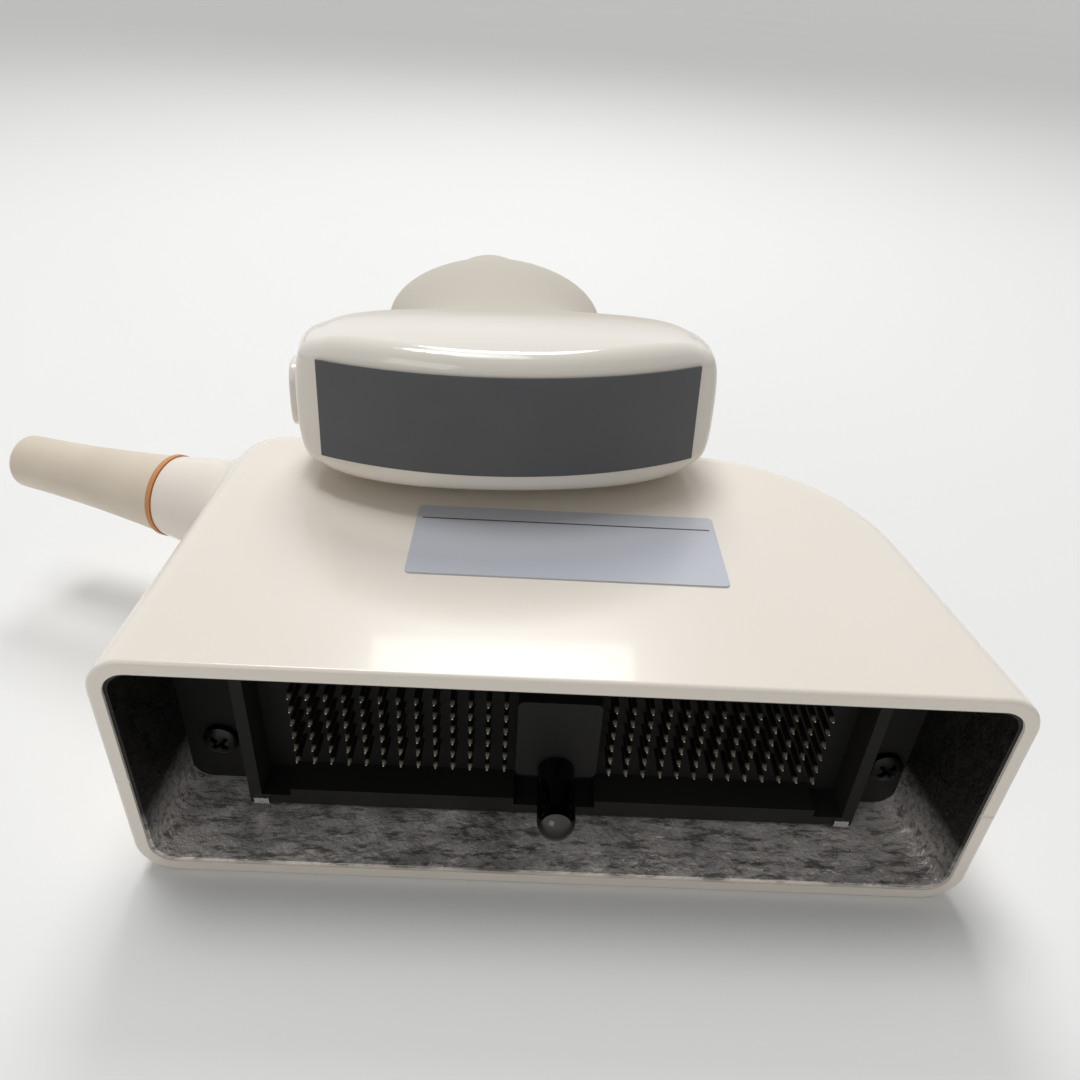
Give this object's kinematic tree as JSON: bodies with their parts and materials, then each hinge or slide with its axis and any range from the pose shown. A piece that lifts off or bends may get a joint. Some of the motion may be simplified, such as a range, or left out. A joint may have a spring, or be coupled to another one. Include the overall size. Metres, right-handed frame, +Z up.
{
  "type": "ultrasound transducer probe",
  "caption": "Curved-array ultrasound probe with a dark lens, resting on its cable connector: a cream housing with an open mouth, contact pins and a latch stud.",
  "frame": {"origin": "centre of the connector housing's underside, midway between its mouth and its back", "axes": "+Z up, -Y out of the connector's mouth, +X to the right seen from the mouth"},
  "size_m": [0.1637, 0.1587, 0.0656],
  "materials": {
    "case_plastic": "satin moulded cream plastic",
    "probe_plastic": "glossy moulded cream plastic",
    "black_plastic": "dark moulded plastic",
    "grey_plastic": "grey moulded plastic",
    "label_silver": "satin silver plate",
    "liner_metal": "worn bare metal lining",
    "contact_metal": "bright plated contacts",
    "stud_chrome": "polished metal",
    "steel": "bright screw steel",
    "board_laminate": "green circuit board",
    "seal_rubber": "orange-brown sealing ring",
    "boot_rubber": "soft cream rubber",
    "lens_rubber": "smooth dark grey silicone",
    "stack_layer": "filled resin layer",
    "ceramic": "sintered ceramic",
    "backing_filled": "filled damping resin",
    "flex_film": "amber film circuit"
  },
  "bodies": {
    "root": {"upper_shell": "case_plastic", "lower_shell": "case_plastic", "case_screws": "steel", "label_plate": "label_silver", "shield_liner": "liner_metal", "connector_frame": "black_plastic", "insulator_left": "black_plastic", "insulator_right": "black_plastic", "contact_pins_left": "contact_metal", "contact_pins_right": "contact_metal", "centre_block": "grey_plastic", "latch_stud": "stud_chrome", "flange_screws": "steel", "ground_tabs": "steel", "adapter_board": "board_laminate", "wire_sockets": "black_plastic", "seal_ring": "seal_rubber", "connector_boot": "boot_rubber", "nosepiece": "probe_plastic", "acoustic_lens": "lens_rubber", "matching_layer": "stack_layer", "element_array": "ceramic", "backing_block": "backing_filled", "flex_circuits": "flex_film", "inner_board": "board_laminate", "handle_upper": "probe_plastic", "handle_lower": "probe_plastic", "tail_gland": "boot_rubber"}
  },
  "joints": []
}
